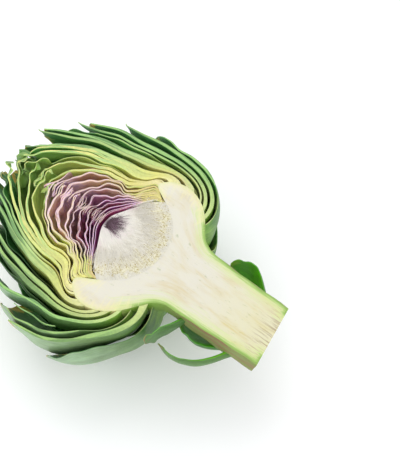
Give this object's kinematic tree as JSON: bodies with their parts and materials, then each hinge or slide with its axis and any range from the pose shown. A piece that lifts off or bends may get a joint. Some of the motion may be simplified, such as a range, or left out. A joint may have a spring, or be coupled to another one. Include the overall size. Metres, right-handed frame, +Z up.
{
  "type": "halved globe artichoke",
  "caption": "Half of a globe artichoke cut lengthwise through head and stem, lying cut side up: nested leaves around a fuzzy choke on a thick heart.",
  "frame": {"origin": "the middle of the outer box at the surface that the half lies on", "axes": "+X towards the stem's end, along the head's axis; +Y across the cut towards the closed side; +Z up, out of the cut face"},
  "size_m": [0.1387, 0.1044, 0.0464],
  "materials": {
    "heart_flesh": "moist cream flesh, matt, with a fibrous green-brown skin on the stem's round back",
    "choke": "dense pale fuzz, matt",
    "outer_leaf": "satin green leaf with a grey-green bloom outside",
    "tender_leaf": "satin yellow-green tender leaf",
    "purple_leaf": "thin satin leaf, purple with a pale cut edge",
    "stem_leaf": "satin fresh green"
  },
  "bodies": {
    "root": {"choke": "choke", "foot_leaf": "stem_leaf", "heart_and_stem": "heart_flesh", "outer_leaf_01": "outer_leaf", "outer_leaf_02": "outer_leaf", "outer_leaf_03": "outer_leaf", "outer_leaf_04": "outer_leaf", "outer_leaf_05": "outer_leaf", "outer_leaf_06": "outer_leaf", "outer_leaf_07": "outer_leaf", "outer_leaf_08": "outer_leaf", "outer_leaf_09": "outer_leaf", "outer_leaf_10": "outer_leaf", "outer_leaf_11": "outer_leaf", "outer_leaf_12": "outer_leaf", "outer_leaf_13": "outer_leaf", "outer_leaf_14": "outer_leaf", "outer_leaf_15": "outer_leaf", "outer_leaf_16": "outer_leaf", "outer_leaf_17": "outer_leaf", "outer_leaf_18": "outer_leaf", "outer_leaf_19": "outer_leaf", "outer_leaf_20": "outer_leaf", "outer_leaf_21": "outer_leaf", "outer_leaf_22": "outer_leaf", "outer_leaf_23": "outer_leaf", "outer_leaf_24": "outer_leaf", "outer_leaf_25": "outer_leaf", "outer_leaf_26": "outer_leaf", "outer_leaf_27": "outer_leaf", "purple_leaf_01": "purple_leaf", "purple_leaf_02": "purple_leaf", "purple_leaf_03": "purple_leaf", "purple_leaf_04": "purple_leaf", "purple_leaf_05": "purple_leaf", "purple_leaf_06": "purple_leaf", "purple_leaf_07": "purple_leaf", "purple_leaf_08": "purple_leaf", "purple_leaf_09": "purple_leaf", "purple_leaf_10": "purple_leaf", "purple_leaf_11": "purple_leaf", "purple_leaf_12": "purple_leaf", "purple_leaf_13": "purple_leaf", "purple_leaf_14": "purple_leaf", "stem_leaf_far": "stem_leaf", "stem_leaf_near": "stem_leaf", "stem_leaf_under": "stem_leaf", "tender_leaf_01": "tender_leaf", "tender_leaf_02": "tender_leaf", "tender_leaf_03": "tender_leaf", "tender_leaf_04": "tender_leaf", "tender_leaf_05": "tender_leaf", "tender_leaf_06": "tender_leaf", "tender_leaf_07": "tender_leaf", "tender_leaf_08": "tender_leaf"}
  },
  "joints": []
}
